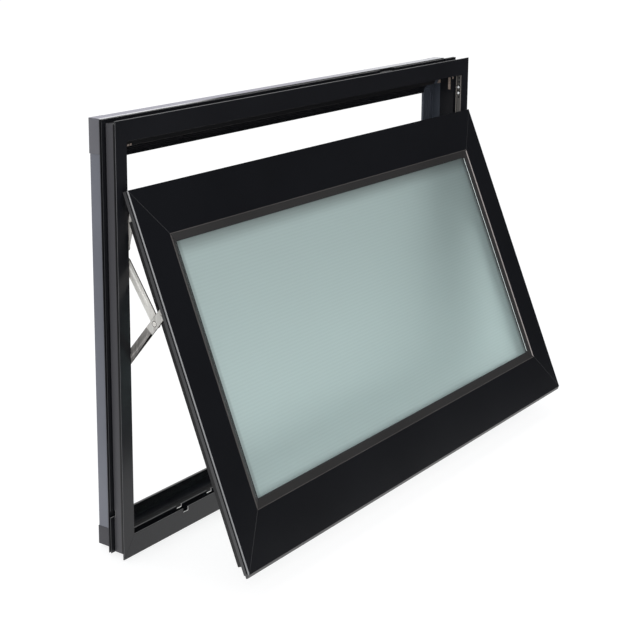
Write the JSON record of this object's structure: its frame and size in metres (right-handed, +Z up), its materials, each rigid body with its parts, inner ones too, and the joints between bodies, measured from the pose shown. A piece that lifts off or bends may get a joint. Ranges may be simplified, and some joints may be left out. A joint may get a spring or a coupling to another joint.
{
  "type": "top hung awning window",
  "caption": "Black aluminium awning window, frosted pane, top hung sash fixed open on stainless friction stays.",
  "frame": {"origin": "middle of the flat face under the sill's wall, where the window is seated", "axes": "+X along the width, +Y from outside to the room, +Z up"},
  "size_m": [0.9, 0.2673, 0.6],
  "materials": {
    "black_coat": "satin powder coat",
    "bead_coat": "satin powder coat",
    "cover_plastic": "matt grey moulding",
    "gasket_rubber": "matt",
    "frosted_glass": "frosted",
    "stainless": "brushed"
  },
  "bodies": {
    "root": {"bead_bottom": "bead_coat", "bead_left": "bead_coat", "bead_right": "bead_coat", "bead_top": "bead_coat", "corner_cover_bottom_left": "cover_plastic", "corner_cover_bottom_right": "cover_plastic", "corner_cover_top_left": "cover_plastic", "corner_cover_top_right": "cover_plastic", "frame_head": "black_coat", "frame_left_jamb": "black_coat", "frame_right_jamb": "black_coat", "frame_sill": "black_coat", "glass_pane": "frosted_glass", "glazing_gasket_front": "gasket_rubber", "glazing_gasket_rear": "gasket_rubber", "left_seal": "gasket_rubber", "left_stay_lower_arm": "stainless", "left_stay_rivets": "stainless", "left_stay_sash_bar": "stainless", "left_stay_slider": "stainless", "left_stay_top_link": "stainless", "left_stay_track": "stainless", "left_stay_upper_arm": "stainless", "reveal_head": "black_coat", "reveal_left_jamb": "black_coat", "reveal_right_jamb": "black_coat", "reveal_sill": "black_coat", "right_seal": "gasket_rubber", "right_stay_lower_arm": "stainless", "right_stay_rivets": "stainless", "right_stay_sash_bar": "stainless", "right_stay_slider": "stainless", "right_stay_top_link": "stainless", "right_stay_track": "stainless", "right_stay_upper_arm": "stainless", "sash_bottom_rail": "black_coat", "sash_left_stile": "black_coat", "sash_right_stile": "black_coat", "sash_top_rail": "black_coat"}
  },
  "joints": []
}
